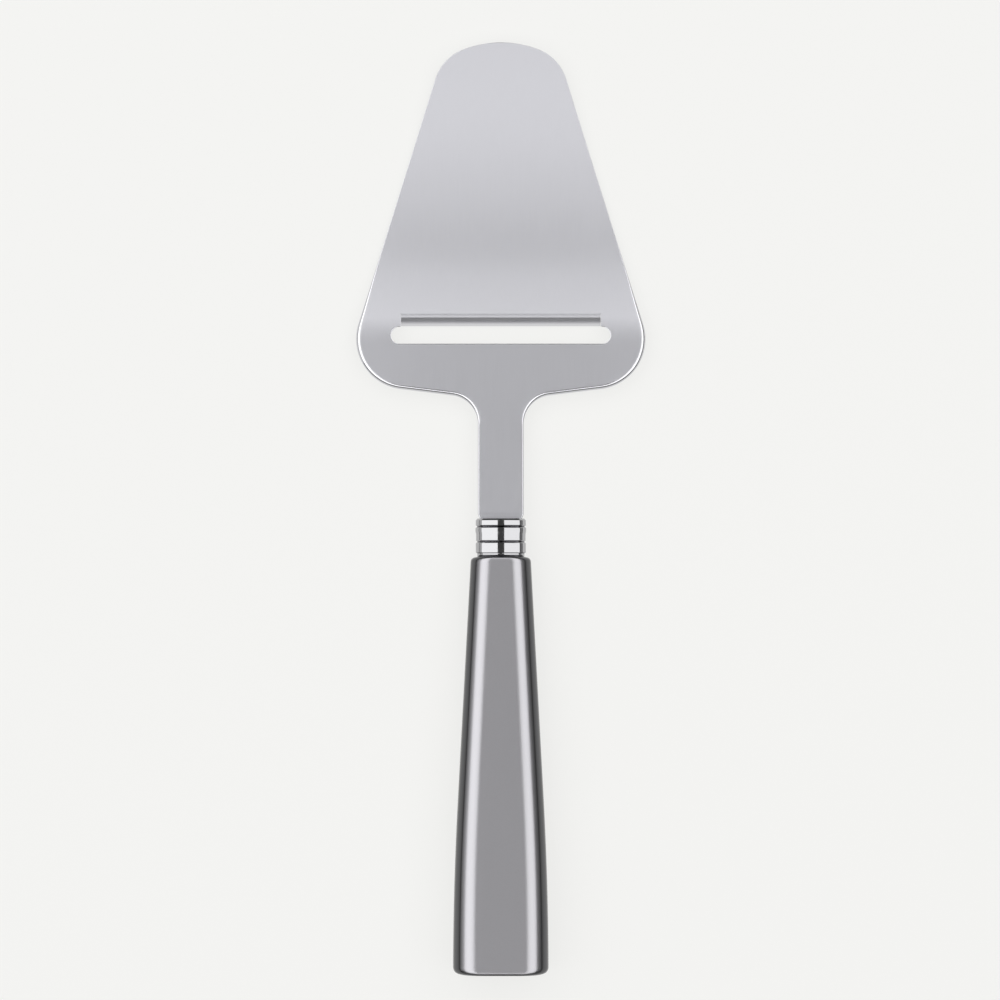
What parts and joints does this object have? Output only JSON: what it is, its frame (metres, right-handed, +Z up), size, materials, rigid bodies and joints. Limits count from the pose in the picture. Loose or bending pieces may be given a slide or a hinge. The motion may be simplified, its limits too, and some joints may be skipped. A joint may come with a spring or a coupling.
{
  "type": "cheese slicer",
  "caption": "Hand cheese plane: flared steel blade with a slot and a bent-down cutting lip, beaded steel ferrule, and a flared, rounded glossy grey handle.",
  "frame": {"origin": "on the table that the slicer lies on, under the middle of its overall length and width", "axes": "+Y from the butt of the handle to the tip of the blade, +Z up out of the blade's upper face, X across the blade"},
  "size_m": [0.0716, 0.23, 0.0156],
  "materials": {
    "satin_steel": "fine satin stainless sheet with polished edges",
    "polished_steel": "mirror-polished stainless steel",
    "pearl_acrylic": "glossy pearl-grey acrylic",
    "epoxy": "cured amber epoxy, hidden inside"
  },
  "bodies": {
    "root": {"blade": "satin_steel", "ferrule": "polished_steel", "handle": "pearl_acrylic", "ferrule_adhesive": "epoxy", "tang_adhesive": "epoxy"}
  },
  "joints": []
}
